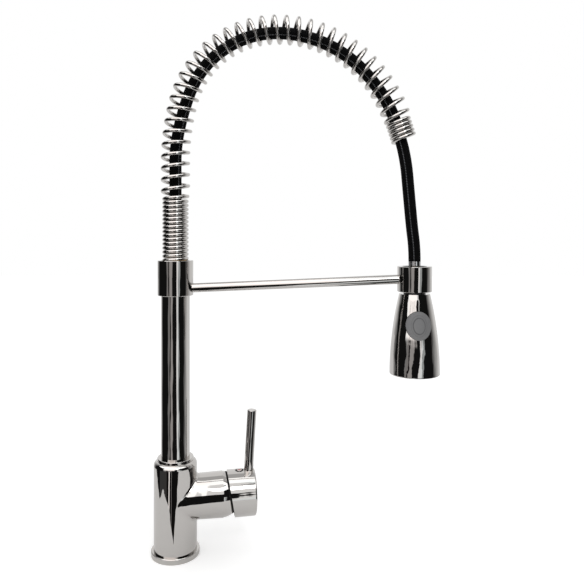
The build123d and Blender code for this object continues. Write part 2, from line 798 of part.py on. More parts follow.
hose_section_area = math.pi * (hose_d ** 2 - hose_bore_d ** 2) / 4


def eased(share):
    """A smooth step from 0 to 1."""
    share = max(0.0, min(1.0, share))
    return share * share * (3 - 2 * share)


def hose_low(distance):
    """How far the hose lies inside the coil's axis, at a distance along the arch."""
    bend_length = arch_length - arch_first_run
    share = (distance - arch_first_run) / bend_length
    low = hose_low_crown * eased(share / hose_low_rise)
    low += (hose_low_late - hose_low_crown) * eased((share - hose_low_late_from) / hose_low_late_run)
    low -= (hose_low_late - hose_low_coil) * eased((share - hose_low_fall_from) / hose_low_fall_run)
    lean = max(0.0, 1 - (arch_length - distance) / hose_lean_length)
    return low + (hose_low_end - hose_low_coil) * lean * lean


def hose_point(distance):
    """A point on the hose's own line, at a distance along the arch."""
    x, z, heading = along(arch_route, coil_start_z, distance)
    low = hose_low(distance)
    return Vector(x + low * math.sin(heading), 0, z - low * math.cos(heading))


hose_steps = 14
hose_places = [
    arch_first_run + (arch_length - arch_first_run) * k / hose_steps for k in range(hose_steps + 1)
]
hose_arcs, hose_spots, hose_ways = arcs_through(hose_point, hose_places)
hose_run = Edge.make_line(Vector(0, 0, seat_top_z), hose_spots[0])
hose_line = Wire([hose_run] + hose_arcs)

with BuildPart() as hose_arch:
    with BuildSketch(level(seat_top_z)):
        Circle(hose_d / 2)
        Circle(hose_bore_d / 2, mode=Mode.SUBTRACT)
    sweep(path=hose_line)
save(hose_arch.part, "hose_arch")
print("hose in arch", round(hose_line.length, 1), "volume over section x length",
      round(hose_arch.part.volume / (hose_section_area * hose_line.length), 4))

drop_start = hose_spots[-1]
exit_way = hose_ways[-1]
drop_route = [drop_start, drop_start + exit_way * drop_first_run]
drop_route += [Vector(head_x + x, 0, ferrule_top_z + z) for x, z in drop_points]
drop_route += [Vector(head_x, 0, ferrule_top_z + drop_last_run), Vector(head_x, 0, ferrule_top_z)]

drop_radii = []
for before, corner, after in zip(drop_route, drop_route[1:], drop_route[2:]):
    run_in, run_out = corner - before, after - corner
    half_turn = math.radians(run_in.get_angle(run_out)) / 2
    drop_radii.append(0.45 * min(run_in.length, run_out.length) / math.tan(half_turn))

with BuildPart() as hose_drop:
    with BuildLine() as drop_line:
        FilletPolyline(*drop_route, radius=drop_radii)
    with BuildSketch(Plane(origin=drop_start, z_dir=exit_way)):
        Circle(hose_d / 2)
        Circle(hose_bore_d / 2, mode=Mode.SUBTRACT)
    sweep(path=drop_line.wire())
save(hose_drop.part, "hose_drop")
print("hose drop radii", [round(radius) for radius in drop_radii])
print("hose drop length", round(drop_line.wire().length, 1), "volume over section x length",
      round(hose_drop.part.volume / (hose_section_area * drop_line.wire().length), 4))
print("hose drop route", [(round(p.X, 2), round(p.Z, 2)) for p in drop_route])

# ---------------------------------------------------------------- ferrule and swivel

with BuildPart() as hose_ferrule:
    tube(level(ferrule_bottom_z, head_x), ferrule_d / 2, swivel_bore_d / 2, ferrule_top_z - ferrule_bottom_z)
save(hose_ferrule.part, "hose_ferrule")

flange_top_z = swivel_bottom_z + swivel_flange_h

with BuildPart() as swivel_stub:
    tube(level(swivel_bottom_z, head_x), swivel_flange_d / 2, swivel_bore_d / 2, swivel_flange_h)
    tube(level(flange_top_z, head_x), swivel_d / 2, swivel_bore_d / 2, ferrule_bottom_z - flange_top_z)
save(swivel_stub.part, "swivel_stub")

nut_bottom_z = flange_top_z + running_gap

with BuildPart() as swivel_nut:
    tube(level(nut_bottom_z, head_x), swivel_nut_d / 2, swivel_d / 2 + running_gap, neck_top_z - nut_bottom_z)
save(swivel_nut.part, "swivel_nut")

washer_z = swivel_bottom_z - swivel_washer_h

with BuildPart() as swivel_washer:
    tube(level(washer_z, head_x), swivel_flange_d / 2, swivel_bore_d / 2, swivel_washer_h)
save(swivel_washer.part, "swivel_washer")

# ---------------------------------------------------------------- spray head


bell_circles = (
    (bell_top_d / 2, bell_top_z),
    (bell_middle_d / 2, bell_top_z - bell_middle_drop),
    (bell_rim_d / 2, bell_rim_z),
)


def bell(grow, top_z):
    """The bell's solid of revolution, grown outwards by an amount and topped at a height."""
    with BuildSketch(head_front) as section:
        with BuildLine():
            points = [(radius + grow, z) for radius, z in bell_circles]
            ThreePointArc(*points)
            Polyline(points[-1], (0, bell_rim_z), (0, bell_top_z), points[0])
        make_face()
    revolve(section.sketch, axis=head_axis)
    if top_z < bell_top_z:
        rod(level(top_z, head_x), bell_rim_d / 2, bell_top_z - top_z, Mode.SUBTRACT)


with BuildPart() as bell_inside:
    bell(-bell_wall, bell_top_z - bell_wall)

with BuildPart() as button_outside:
    bell(button_proud, bell_top_z)

with BuildPart() as relief_outside:
    bell(button_proud + relief_proud, bell_top_z)

with BuildPart() as head_shell:
    bell(0, bell_top_z)
    fillet(head_shell.edges().filter_by(GeomType.CIRCLE).sort_by(Axis.Z)[0], rim_round)
    add(bell_inside.part, mode=Mode.SUBTRACT)
    rod(level(bell_top_z - 2 * bell_wall, head_x), core_stem_d / 2 + seat_gap, 3 * bell_wall, Mode.SUBTRACT)
    with BuildSketch(button_plane):
        Ellipse(button_w / 2 + button_gap, button_h / 2 + button_gap)
    extrude(amount=bell_rim_d / 2 + button_proud, mode=Mode.SUBTRACT)
save(head_shell.part, "head_shell")

spool_bore_r = spool_d / 2 + running_gap
chamber_z = core_top_z - core_roof_h
cup_bore_r = core_cup_d / 2 - core_cup_wall

with BuildPart() as head_core:
    rod(level(bell_top_z, head_x), neck_d / 2, neck_top_z - bell_top_z)
    rod(level(core_top_z, head_x), core_stem_d / 2, bell_top_z - core_top_z)
    rod(level(core_bottom_z, head_x), core_d / 2, core_top_z - core_bottom_z)
    rod(level(nut_bottom_z, head_x), swivel_nut_d / 2, neck_top_z, Mode.SUBTRACT)
    rod(level(washer_z, head_x), swivel_flange_d / 2 + seat_gap, neck_top_z, Mode.SUBTRACT)
    rod(level(core_bottom_z, head_x), core_d / 2 - core_wall, chamber_z - core_bottom_z, Mode.SUBTRACT)
    # The cup at its foot spreads the water over the nozzles.
    rod(level(core_bottom_z, head_x), core_cup_d / 2, core_cup_h)
    rod(level(core_bottom_z, head_x), cup_bore_r, core_cup_h - core_cup_roof_h, Mode.SUBTRACT)
    rod(level(core_bottom_z, head_x), core_d / 2 - core_wall, core_cup_h, Mode.SUBTRACT)
    rod(level(chamber_z, head_x), neck_bore_d / 2, washer_z - chamber_z, Mode.SUBTRACT)
    spool_plane = Plane(origin=(head_x, spool_past_axis + spool_room, button_z), z_dir=(0, -1, 0))
    rod(spool_plane, spool_bore_r, core_d, Mode.SUBTRACT)
save(head_core.part, "head_core")

with BuildPart() as check_valve:
    check_valve_z = core_top_z + check_valve_up
    check_valve_bore_r = neck_bore_d / 2 - check_valve_wall
    tube(level(check_valve_z, head_x), neck_bore_d / 2, check_valve_bore_r, check_valve_h)
save(check_valve.part, "check_valve")

face_r = bell_rim_d / 2 - bell_wall - seat_gap
cuff_z = face_z + face_h
ring_spots = [
    (ring_d / 2 * math.cos(2 * math.pi * k / count), ring_d / 2 * math.sin(2 * math.pi * k / count))
    for count, ring_d in zip(nozzle_counts, nozzle_ring_ds)
    for k in range(count)
]

with BuildPart() as face_room:
    bell(-bell_wall - seat_gap, bell_top_z - bell_wall)

with BuildPart() as spray_face:
    rod(level(face_z, head_x), face_r, face_h)
    add(face_room.part, mode=Mode.INTERSECT)
    tube(level(cuff_z, head_x), cup_bore_r - seat_gap, cup_bore_r - seat_gap - face_seat_wall, face_seat_h)
    tube(level(cuff_z, head_x), aerator_d / 2 + face_seat_wall, aerator_d / 2, face_seat_h)
    with BuildSketch(level(face_z, head_x)):
        with Locations(*ring_spots):
            Circle(nozzle_d / 2)
        Circle(aerator_d / 2)
    extrude(amount=face_h, mode=Mode.SUBTRACT)
save(spray_face.part, "spray_face")

with BuildPart() as spray_nozzles:
    with BuildSketch(level(face_z - nozzle_drop, head_x)):
        with Locations(*ring_spots):
            Circle(nozzle_d / 2)
    extrude(amount=face_h + nozzle_drop)
save(spray_nozzles.part, "spray_nozzles")

with BuildPart() as aerator_ring:
    aerator_foot = level(face_z - nozzle_drop, head_x)
    tube(aerator_foot, aerator_d / 2, aerator_d / 2 - aerator_wall, face_h + face_seat_h)
save(aerator_ring.part, "aerator_ring")

with BuildPart() as aerator_screen:
    rod(level(face_z + nozzle_drop, head_x), aerator_d / 2 - aerator_wall, screen_h)
    with BuildSketch(level(face_z + nozzle_drop, head_x)):
        with GridLocations(screen_pitch, screen_pitch, 4, 4):
            Circle(screen_hole_d / 2)
    extrude(amount=screen_h, mode=Mode.SUBTRACT)
save(aerator_screen.part, "aerator_screen")

# ---------------------------------------------------------------- spray button

button_back_y = -core_d / 2 - button_back_gap
button_web_y = -core_d / 2 - button_web_gap

with BuildPart() as spray_button:
    with BuildSketch(button_plane.offset(-button_back_y)):
        Ellipse(button_w / 2, button_h / 2)
    extrude(amount=bell_rim_d / 2)
    add(button_outside.part, mode=Mode.INTERSECT)
    with BuildSketch(button_plane.offset(-button_back_y)):
        Ellipse(button_w / 2 - button_skirt_wall, button_h / 2 - button_skirt_wall)
    extrude(amount=button_back_y - button_web_y, mode=Mode.SUBTRACT)
    with BuildPart(mode=Mode.PRIVATE) as relief:
        with BuildSketch(button_plane.offset(-button_web_y)):
            Ellipse(relief_w / 2, relief_h / 2)
        extrude(amount=bell_rim_d / 2)
        add(relief_outside.part, mode=Mode.INTERSECT)
    add(relief.part)
save(spray_button.part, "spray_button")

spool_back = Plane(origin=(head_x, spool_past_axis, button_z), z_dir=(0, -1, 0))

with BuildPart() as valve_spool:
    rod(spool_back, spool_rod_d / 2, spool_past_axis - button_web_y)
    rod(spool_back, spool_d / 2, spool_land)
    rod(spool_back.offset(spool_past_axis + spool_land), spool_d / 2, spool_land)
save(valve_spool.part, "valve_spool")


def button_wire_point(u):
    """A point on the button's return spring at turn u, from the core out to the button."""
    reach = button_web_gap - spring_wire_d
    y = -core_d / 2 - spring_wire_d / 2 - reach * u / spring_turns
    phase = 2 * math.pi * u
    radius = (spring_coil_d - spring_wire_d) / 2
    return Vector(head_x + radius * math.cos(phase), y, button_z + radius * math.sin(phase))


with BuildPart() as button_spring:
    coil_path, coil_start, coil_way = coil_wire(button_wire_point, spring_turns, 4, spring_wire_d)
    with BuildSketch(Plane(origin=coil_start, z_dir=coil_way)):
        Circle(spring_wire_d / 2)
    sweep(path=coil_path)
save(button_spring.part, "button_spring")
print("button spring least gap", round(least_gap(button_wire_point, spring_turns, spring_wire_d), 2))
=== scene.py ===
import math

import bpy
import numpy as np
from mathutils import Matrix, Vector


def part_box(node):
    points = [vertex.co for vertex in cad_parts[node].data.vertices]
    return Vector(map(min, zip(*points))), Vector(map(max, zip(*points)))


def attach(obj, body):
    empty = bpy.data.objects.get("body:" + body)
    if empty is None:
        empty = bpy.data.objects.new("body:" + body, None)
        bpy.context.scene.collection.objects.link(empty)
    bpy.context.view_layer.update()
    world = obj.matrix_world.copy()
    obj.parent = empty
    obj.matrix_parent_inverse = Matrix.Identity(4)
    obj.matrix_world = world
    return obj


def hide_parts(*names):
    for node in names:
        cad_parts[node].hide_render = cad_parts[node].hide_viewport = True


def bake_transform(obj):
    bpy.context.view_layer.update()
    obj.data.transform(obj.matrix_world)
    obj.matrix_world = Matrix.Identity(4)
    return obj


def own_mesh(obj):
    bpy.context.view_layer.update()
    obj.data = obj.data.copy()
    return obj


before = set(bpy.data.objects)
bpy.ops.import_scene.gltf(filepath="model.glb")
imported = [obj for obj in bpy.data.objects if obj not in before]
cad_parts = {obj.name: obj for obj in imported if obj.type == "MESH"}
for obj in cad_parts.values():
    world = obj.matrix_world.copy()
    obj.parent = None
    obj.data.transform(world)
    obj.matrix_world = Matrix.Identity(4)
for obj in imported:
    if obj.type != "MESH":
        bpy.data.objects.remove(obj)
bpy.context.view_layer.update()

mm = 0.001

# ---------------------------------------------------------------- cast body and base ring
# The body is a brass casting with a side branch, ground and buffed by hand, then nickel and
# chrome plated. It stands on a turned base ring, with a rubber seal pressed into its foot.
# A screw at the back holds the riser's spigot, and a plated bush covers the socket's mouth.


def linear(code):
    """An sRGB hex colour as linear red, green, blue and alpha: the sRGB curve undone."""
    parts = [int(code[k:k + 2], 16) / 255 for k in (1, 3, 5)]
    return [c / 12.92 if c <= 0.04045 else ((c + 0.055) / 1.055) ** 2.4 for c in parts] + [1.0]


def add_node(tree, kind, inputs=None, **settings):
    """Adds a node with its settings, each input set to a value or linked to an output."""
    node = tree.nodes.new(kind)
    for name, value in settings.items():
        setattr(node, name, value)
    for name, value in (inputs or {}).items():
        if isinstance(value, bpy.types.NodeSocket):
            tree.links.new(value, node.inputs[name])
        else:
            node.inputs[name].default_value = value
    return node


def new_material(name):
    """An empty node material with its output node."""
    material = bpy.data.materials.new(name)
    material.use_nodes = True
    material.node_tree.nodes.clear()
    output = material.node_tree.nodes.new("ShaderNodeOutputMaterial")
    return material, material.node_tree, output


def dress(material, *names):
    """Gives CAD nodes a material."""
    for name in names:
        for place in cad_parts[name].material_slots:
            place.material = material


# The plate's own tint, a slightly warm light grey.
chrome_tint = linear("#C2BFBC")


def plated(name, wave_size, wave_depth, haze):
    """Bright chrome plate. Buffing leaves long shallow waves, wave_size across and wave_depth
    deep, that bend reflections a little, and a faint uneven haze in the gloss."""
    material, tree, output = new_material(name)
    place = add_node(tree, "ShaderNodeTexCoord").outputs["Object"]
    waves = add_node(tree, "ShaderNodeTexNoise",
                     {"Vector": place, "Scale": 1 / wave_size, "Detail": 2.0, "Roughness": 0.35})
    dents = add_node(tree, "ShaderNodeBump",
                     {"Height": waves.outputs["Fac"], "Strength": 1.0, "Distance": wave_depth})
    smears = add_node(tree, "ShaderNodeTexNoise",
                      {"Vector": place, "Scale": 1 / (18 * mm), "Detail": 5.0, "Roughness": 0.6})
    gloss = add_node(tree, "ShaderNodeMapRange",
                     {"Value": smears.outputs["Fac"], "From Min": 0.3, "From Max": 0.7,
                      "To Min": 0.4 * haze, "To Max": 1.3 * haze})
    shader = add_node(tree, "ShaderNodeBsdfPrincipled",
                      {"Base Color": chrome_tint, "Metallic": 1.0,
                       "Roughness": gloss.outputs["Result"], "Normal": dents.outputs["Normal"]})
    tree.links.new(shader.outputs["BSDF"], output.inputs["Surface"])
    return material


# Chrome on a buffed casting: waves of about 17 mm and a quarter of a millimetre deep give it
# its soft ripples.
cast_chrome = plated("chrome_buffed_casting", 17 * mm, 0.26 * mm, 0.035)
dress(cast_chrome, "main_body")
# Chrome on turned and drawn brass: truer, so its reflections run nearly straight.
turned_chrome = plated("chrome_turned_brass", 30 * mm, 0.3 * mm, 0.03)
dress(turned_chrome, "base_ring", "riser_bush")


def rubber(name, colour):
    """Moulded nitrile rubber: a dry dark skin with a fine grain."""
    material, tree, output = new_material(name)
    place = add_node(tree, "ShaderNodeTexCoord").outputs["Object"]
    grain = add_node(tree, "ShaderNodeTexNoise",
                     {"Vector": place, "Scale": 1 / (0.5 * mm), "Detail": 3.0})
    bumps = add_node(tree, "ShaderNodeBump",
                     {"Height": grain.outputs["Fac"], "Strength": 0.5, "Distance": 0.02 * mm})
    shader = add_node(tree, "ShaderNodeBsdfPrincipled",
                      {"Base Color": linear(colour), "Roughness": 0.62, "IOR": 1.52,
                       "Normal": bumps.outputs["Normal"]})
    tree.links.new(shader.outputs["BSDF"], output.inputs["Surface"])
    return material


black_rubber = rubber("rubber_moulded_black", "#1C1C1D")
dress(black_rubber, "base_seal")


def machined(name, colour, groove, roughness):
    """Bare turned metal: fine rings groove apart, from the tool's feed, along the part's height."""
    material, tree, output = new_material(name)
    place = add_node(tree, "ShaderNodeTexCoord").outputs["Object"]
    feed = add_node(tree, "ShaderNodeTexWave",
                    {"Vector": place, "Scale": 1 / (2 * math.pi * groove), "Distortion": 0.3},
                    bands_direction="Z")
    rings = add_node(tree, "ShaderNodeBump",
                     {"Height": feed.outputs["Fac"], "Strength": 0.4, "Distance": 0.02 * mm})
    shader = add_node(tree, "ShaderNodeBsdfPrincipled",
                      {"Base Color": linear(colour), "Metallic": 1.0, "Roughness": roughness,
                       "Normal": rings.outputs["Normal"]})
    tree.links.new(shader.outputs["BSDF"], output.inputs["Surface"])
    return material


bare_steel = machined("steel_turned", "#A9AAAC", 0.4 * mm, 0.32)
dress(bare_steel, "spout_screw")

# ---------------------------------------------------------------- mixing cartridge
# A bought-in 35 mm ceramic cartridge sits in the branch: an acetal body and rotor, two lapped
# alumina discs, rubber port seals and a pinned brass stem. A brass nut holds it down, and a
# plated brass dome screwed on the nut is what shows between the branch and the handle.

bare_brass = machined("brass_turned", "#C9A45C", 0.4 * mm, 0.3)
dress(bare_brass, "cartridge_nut", "cartridge_stem")
dress(black_rubber, "cartridge_seals")
dress(bare_steel, "pivot_pin")


def moulded(name, colour, roughness, grain_size, grain_depth):
    """Injection-moulded plastic: the spark-eroded grain of the mould and a slight change of
    gloss where the melt cooled unevenly."""
    material, tree, output = new_material(name)
    place = add_node(tree, "ShaderNodeTexCoord").outputs["Object"]
    grain = add_node(tree, "ShaderNodeTexNoise",
                     {"Vector": place, "Scale": 1 / grain_size, "Detail": 4.0})
    bumps = add_node(tree, "ShaderNodeBump",
                     {"Height": grain.outputs["Fac"], "Strength": 0.6, "Distance": grain_depth})
    cloud = add_node(tree, "ShaderNodeTexNoise",
                     {"Vector": place, "Scale": 1 / (9 * mm), "Detail": 2.0})
    gloss = add_node(tree, "ShaderNodeMapRange",
                     {"Value": cloud.outputs["Fac"], "From Min": 0.3, "From Max": 0.7,
                      "To Min": roughness - 0.05, "To Max": roughness + 0.05})
    shader = add_node(tree, "ShaderNodeBsdfPrincipled",
                      {"Base Color": linear(colour), "Roughness": gloss.outputs["Result"],
                       "IOR": 1.5, "Normal": bumps.outputs["Normal"]})
    tree.links.new(shader.outputs["BSDF"], output.inputs["Surface"])
    return material


white_acetal = moulded("acetal_moulded_white", "#DADAD6", 0.4, 0.4 * mm, 0.01 * mm)
dress(white_acetal, "cartridge_body", "cartridge_cover", "cartridge_rotor")
lapped_alumina = moulded("alumina_lapped", "#E6E3DA", 0.25, 0.2 * mm, 0.002 * mm)
dress(lapped_alumina, "fixed_disc", "moving_disc")


def painted_shade_copy(material, name, zone):
    """A copy of a material with a zone painted dull black as shade. zone adds the nodes that pick
    it to a tree and gives their output, 1 inside the zone and 0 outside."""
    material = material.copy()
    material.name = name
    tree = material.node_tree
    output = tree.nodes["Material Output"]
    bright = output.inputs["Surface"].links[0].from_socket
    black = add_node(tree, "ShaderNodeBsdfPrincipled",
                     {"Base Color": linear("#0B0B0B"), "Roughness": 0.6, "IOR": 1.3})
    both = add_node(tree, "ShaderNodeMixShader",
                    {0: zone(tree), 1: bright, 2: black.outputs["BSDF"]})
    tree.links.new(both.outputs["Shader"], output.inputs["Surface"])
    return material


# The cap's rim lies in a slanted plane, whose normal leans 9 degrees from the branch's axis.
rim_normal = (0.9688, 0.1883, 0.164)
rim_distance = 63.4 * mm
# How far from the rim's plane the dome is painted black as the gap's shadow.
painted_gap_width = 1.9 * mm


def painted_rim_gap_shade(tree):
    """The dome's last stretch before the plane of the cap's rim, which it dips under, painted black
    as the
    shadow in the gap: the place along the plane's normal is less than the band's width short of the
    plane."""
    place = add_node(tree, "ShaderNodeTexCoord").outputs["Object"]
    along = add_node(tree, "ShaderNodeVectorMath", {0: place, 1: rim_normal},
                     operation="DOT_PRODUCT")
    return add_node(tree, "ShaderNodeMath",
                    {0: along.outputs["Value"], 1: rim_distance - painted_gap_width},
                    operation="GREATER_THAN").outputs["Value"]


# The dome's edge under the cap's rim is painted black as the shadow in the gap between them.
dress(painted_shade_copy(turned_chrome, "chrome_with_painted_gap_shade", painted_rim_gap_shade), "cartridge_dome")

# ---------------------------------------------------------------- lever handle
# A plated zinc cap, cut on a slant at its rim, clears the dome as it tips. A thin rod screws
# into its top, and a plug over the grub screw carries a red enamel dot in a chrome ring.

dress(turned_chrome, "lever_rod")
dress(bare_steel, "handle_screw")

plug_low, plug_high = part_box("index_plug")
plug_x = (plug_low[0] + plug_high[0]) / 2
plug_y = (plug_low[1] + plug_high[1]) / 2
bore_radius = 4.35 * mm


def from_plug(tree):
    """The distance from the plug's upright axis."""
    place = add_node(tree, "ShaderNodeTexCoord").outputs["Object"]
    shift = add_node(tree, "ShaderNodeMapping",
                     {"Vector": place, "Location": (-plug_x, -plug_y, 0.0),
                      "Scale": (1.0, 1.0, 0.0)})
    away = add_node(tree, "ShaderNodeVectorMath", {0: shift.outputs["Vector"]}, operation="LENGTH")
    return away.outputs["Value"]


def painted_bore_shade(tree):
    """The bore's edge on the cap's top, painted dark as the shade in the recess: all within its
    radius.
    """
    return add_node(tree, "ShaderNodeMath", {0: from_plug(tree), 1: bore_radius},
                    operation="LESS_THAN").outputs["Value"]


# The cap's chrome is painted black within the bore's radius, as the shade in the recess.
dress(painted_shade_copy(cast_chrome, "chrome_with_painted_bore_shade", painted_bore_shade), "handle_cap")


def enamelled(name, dot_radius, knob_radius):
    """An enamel dot on a chrome knob, in a sunk ring painted dark as its shade: the distance from
    the plug's axis picks which."""
    material, tree, output = new_material(name)
    away = from_plug(tree)
    rim = add_node(tree, "ShaderNodeMapRange",
                   {"Value": away, "From Min": dot_radius - 0.1 * mm,
                    "From Max": dot_radius + 0.1 * mm})
    enamel = add_node(tree, "ShaderNodeBsdfPrincipled",
                      {"Base Color": linear("#A8625C"), "Roughness": 0.2, "IOR": 1.52})
    chrome = add_node(tree, "ShaderNodeBsdfPrincipled",
                      {"Base Color": chrome_tint, "Metallic": 1.0, "Roughness": 0.05})
    knob = add_node(tree, "ShaderNodeMixShader",
                    {0: rim.outputs["Result"], 1: enamel.outputs["BSDF"],
                     2: chrome.outputs["BSDF"]})
    sunk = add_node(tree, "ShaderNodeMath", {0: away, 1: knob_radius}, operation="GREATER_THAN")
    # The sunk ring is painted near black, as the shade in it.
    painted_sunk_shade = add_node(tree, "ShaderNodeBsdfPrincipled",
                    {"Base Color": linear("#1B1A1A"), "Roughness": 0.6, "IOR": 1.45})
    whole = add_node(tree, "ShaderNodeMixShader",
                     {0: sunk.outputs["Value"], 1: knob.outputs["Shader"], 2: painted_sunk_shade.outputs["BSDF"]})
    tree.links.new(whole.outputs["Shader"], output.inputs["Surface"])
    return material


dress(enamelled("enamel_dot_in_chrome", dot_radius=1.9 * mm, knob_radius=2.72 * mm),
      "index_plug")

# ---------------------------------------------------------------- riser, collar and arm
# The riser is drawn brass tube, soldered on a turned spigot whose O-rings let it turn in the
# body. A turned collar clamps on its top, and a solid rod runs from it to the spray's holder,
# a turned ring with a black liner pushed in.

dress(turned_chrome, "riser_tube", "riser_collar", "support_arm", "holder_ring")
dress(bare_brass, "riser_spigot", "spring_seat")
dress(black_rubber, "spigot_orings")
dress(bare_steel, "collar_screw")
dark_acetal = moulded("acetal_moulded_black", "#232324", 0.42, 0.4 * mm, 0.01 * mm)
dress(dark_acetal, "holder_liner")

# ---------------------------------------------------------------- arch spring
# One length of round spring wire, wound right-handed round the hose and chrome plated. It is
# wound close in its first and last turns and open in the arch, and stands in the collar.

arch_start = 292.26 * mm
arch_first_run = 98.6 * mm
arch_bends = ((228.3 * mm, 15.7), (96.2 * mm, 73.6), (123.5 * mm, 45.6), (136.6 * mm, 27.1))
arch_end_run = 21.5 * mm
wire_radius = 1.88 * mm
closed_radius = 11.22 * mm
open_radius = 12.72 * mm
closed_pitch = 4.06 * mm
closed_turns, open_turns, end_turns = 15, 35, 5
all_turns = closed_turns + open_turns + end_turns

piece_lengths = [arch_first_run]
piece_lengths += [radius * math.radians(angle) for radius, angle in arch_bends]
piece_lengths += [arch_end_run]
piece_curves = [0.0] + [1 / radius for radius, angle in arch_bends] + [0.0]
arch_length = sum(piece_lengths)


def arch_line(distance):
    """Points and headings of the arch's own line: runs and arcs end to end. Along a run the
    point goes straight on; along an arc of radius R it is at R times the change of the
    heading's sine and cosine."""
    x, z = np.zeros_like(distance), np.full_like(distance, arch_start)
    heading = np.full_like(distance, math.pi / 2)
    left = distance.copy()
    for k, (length, curve) in enumerate(zip(piece_lengths, piece_curves)):
        last = k == len(piece_lengths) - 1
        step = left if last else np.minimum(left, length)
        after = heading - step * curve
        if curve:
            x += (np.sin(heading) - np.sin(after)) / curve
            z += (np.cos(after) - np.cos(heading)) / curve
        else:
            x += step * np.cos(heading)
            z += step * np.sin(heading)
        heading = after
        left = left - step
    return x, z, heading


def swept_tube(path, out, radius, sides):
    """Rings round a path: each is the path's point plus radius times (cos a * e1 + sin a * e2),
    where e1 is the given outward direction square to the path and e2 completes the frame."""
    way = np.gradient(path, axis=0)
    way /= np.linalg.norm(way, axis=1, keepdims=True)
    first = out - (out * way).sum(axis=1, keepdims=True) * way
    first /= np.linalg.norm(first, axis=1, keepdims=True)
    second = np.cross(way, first)
    angle = np.linspace(0, 2 * math.pi, sides, endpoint=False)[None, :, None]
    around = np.cos(angle) * first[:, None] + np.sin(angle) * second[:, None]
    return path[:, None] + radius * around


def travelled_along(path):
    """The distance travelled to each point of a path: the running sum of its steps, from 0."""
    return np.concatenate([[0], np.cumsum(np.linalg.norm(np.diff(path, axis=0), axis=1))])


def ring_mesh(name, rings, along):
    """A closed mesh from rings of points, row by row, with a fan over each end. Its UV map has
    the share of the way round in u, and the distance along, in metres, in v."""
    rows, sides = rings.shape[:2]
    ends = rings[[0, -1]].mean(axis=1)
    points = np.concatenate([rings.reshape(-1, 3), ends])
    row, side = np.meshgrid(np.arange(rows - 1), np.arange(sides), indexing="ij")
    row, side, after = row.ravel(), side.ravel(), (side.ravel() + 1) % sides
    quads = np.stack([row * sides + side, row * sides + after,
                      (row + 1) * sides + after, (row + 1) * sides + side], axis=1)
    turn = np.arange(sides)
    step = (turn + 1) % sides
    low = np.stack([step, turn, np.full(sides, rows * sides)], axis=1)
    top = (rows - 1) * sides
    high = np.stack([top + turn, top + step, np.full(sides, rows * sides + 1)], axis=1)
    mesh = bpy.data.meshes.new(name)
    mesh.from_pydata(points.tolist(), [], quads.tolist() + low.tolist() + high.tolist())
    quad_u = np.stack([side, side + 1, side + 1, side], axis=1) / sides
    quad_v = np.stack([along[row], along[row], along[row + 1], along[row + 1]], axis=1)
    fan_u = np.stack([turn + 1, turn, turn + 0.5], axis=1) / sides
    uv = np.concatenate([
        np.stack([quad_u, quad_v], axis=2).reshape(-1, 2),
        np.stack([fan_u, np.full((sides, 3), along[0])], axis=2).reshape(-1, 2),
        np.stack([fan_u, np.full((sides, 3), along[-1])], axis=2).reshape(-1, 2),
    ])
    mesh.uv_layers.new(name="UVMap").data.foreach_set("uv", uv.ravel().astype(np.float32))
    mesh.shade_smooth()
    mesh.set_sharp_from_angle(angle=math.radians(50))
    return mesh


def new_piece(name, mesh, material):
    """A linked object for a finished mesh, with its material."""
    piece = bpy.data.objects.new(name, mesh)
    bpy.context.scene.collection.objects.link(piece)
    mesh.materials.append(material)
    return piece


def coil_rings(steps, sides):
    """The coil's wire. At turn u its centre is the arch's point at distance D(u), moved out by
    R(u) times (cos 2 pi u, sin 2 pi u) across the arch. D grows by the pitch, which eases from
    closed to open over one turn at each end of the open turns, and so does the radius. The
    last quarter turn is left off, so the wire's end lies behind."""
    u = np.linspace(0, all_turns - 0.25, all_turns * steps + 1)
    opened = np.clip(np.minimum(u - closed_turns, all_turns - end_turns - u), 0, 1)
    spread = (arch_length - all_turns * closed_pitch) / (open_turns - 1)
    rising = np.clip(u - closed_turns, 0, open_turns)
    late = np.clip(rising - (open_turns - 1), 0, 1)
    widened = np.minimum(rising, 1) ** 2 / 2 + np.clip(rising - 1, 0, open_turns - 2)
    distance = closed_pitch * u + spread * (widened + late - late ** 2 / 2)
    x, z, heading = arch_line(distance)
    reach = (closed_radius + (open_radius - closed_radius) * opened)[:, None]
    turn = (2 * math.pi * u)[:, None]
    across = np.stack([-np.sin(heading), 0 * heading, np.cos(heading)], axis=1)
    near = np.array([[0.0, -1.0, 0.0]])
    out = np.cos(turn) * across + np.sin(turn) * near
    path = np.stack([x, 0 * x, z], axis=1) + reach * out
    lead = path[1] - path[0]
    path = np.concatenate([path[:1] - lead * 2, path, path[-1:] + (path[-1] - path[-2]) * 2])
    out = np.concatenate([out[:1], out, out[-1:]])
    return swept_tube(path, out, wire_radius, sides), travelled_along(path)


# Chrome on spring wire: drawing leaves it truer than a casting, with a slightly duller gloss.
wire_chrome = plated("chrome_spring_wire", 6 * mm, 0.003 * mm, 0.05)
coil = new_piece("spring_coil", ring_mesh("spring_coil", *coil_rings(48, 14)), wire_chrome)
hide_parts("arch_spring")
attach(coil, "spout")

# ---------------------------------------------------------------- hose
# A rubber hose in a tight black polyester braid, with grey tracer threads that show as rows of
# fine dots. It rises through the coil, lies on the inside of the arch, leaves the last turns
# and hangs to the spray, where a crimped steel ferrule holds it.

hose_radius = 6.0 * mm
# Where it lies inside the arch's line, as eased steps of depth: how deep, and where each starts
# and how long it lasts as shares of the arch. In the last run it sinks once more.
hose_sinks = ((3.4 * mm, 0.0, 0.21), (0.6 * mm, 0.5, 0.25), (-1.4 * mm, 0.8, 0.14))
last_sink, last_sink_run = 0.6 * mm, 26.0 * mm


